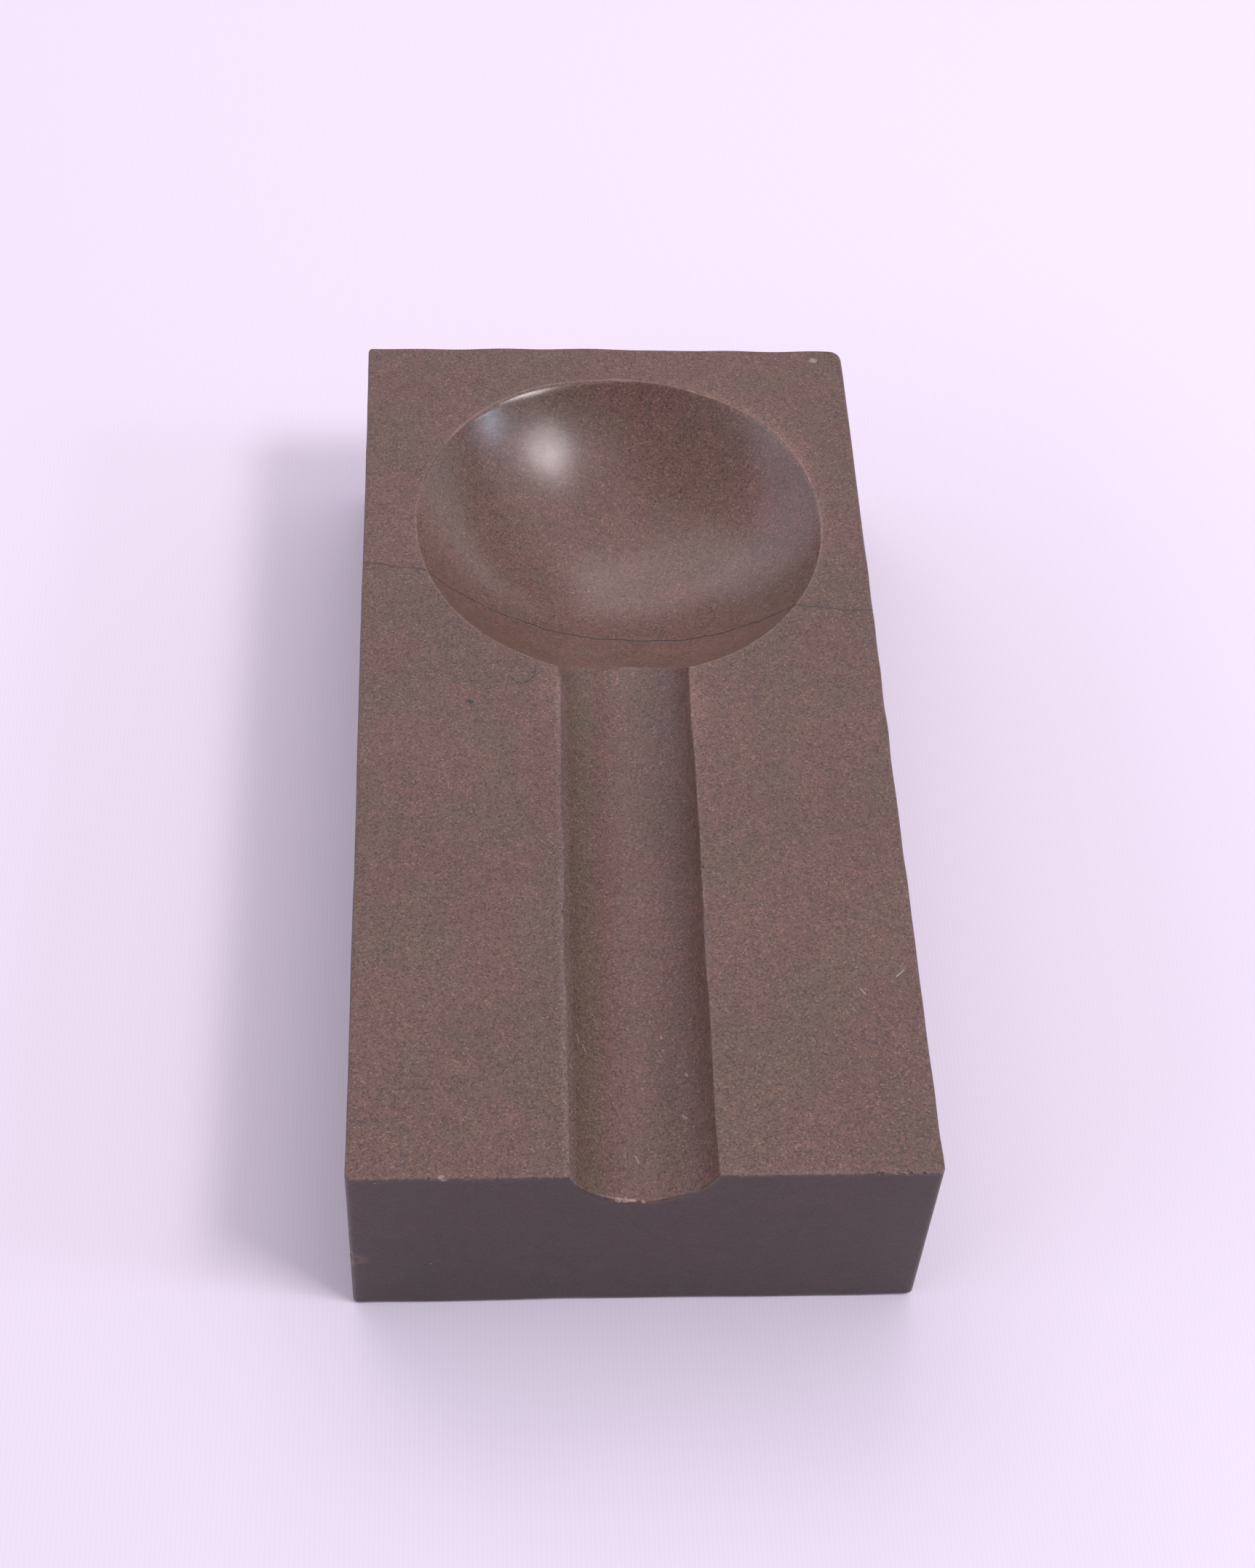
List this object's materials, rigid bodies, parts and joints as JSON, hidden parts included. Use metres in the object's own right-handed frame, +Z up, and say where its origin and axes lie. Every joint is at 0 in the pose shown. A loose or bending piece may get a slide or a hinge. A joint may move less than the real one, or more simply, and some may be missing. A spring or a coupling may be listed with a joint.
{
  "type": "carved stone rest block",
  "caption": "Carved basalt block with a round shallow bowl near one end and a round-bottomed groove running from the bowl out through the front face.",
  "frame": {"origin": "middle of the underside, on the surface the block stands on", "axes": "+Y along the block's length, towards the end with the bowl; the groove opens at -Y; +Z up, out of the carved face; +X to the right when looking along +Y"},
  "size_m": [0.08, 0.16, 0.035],
  "materials": {
    "basalt": "honed fine-grained basalt, matte on the faces, a little smoother in the bowl and groove"
  },
  "bodies": {
    "root": {"stone_block": "basalt"}
  },
  "joints": []
}
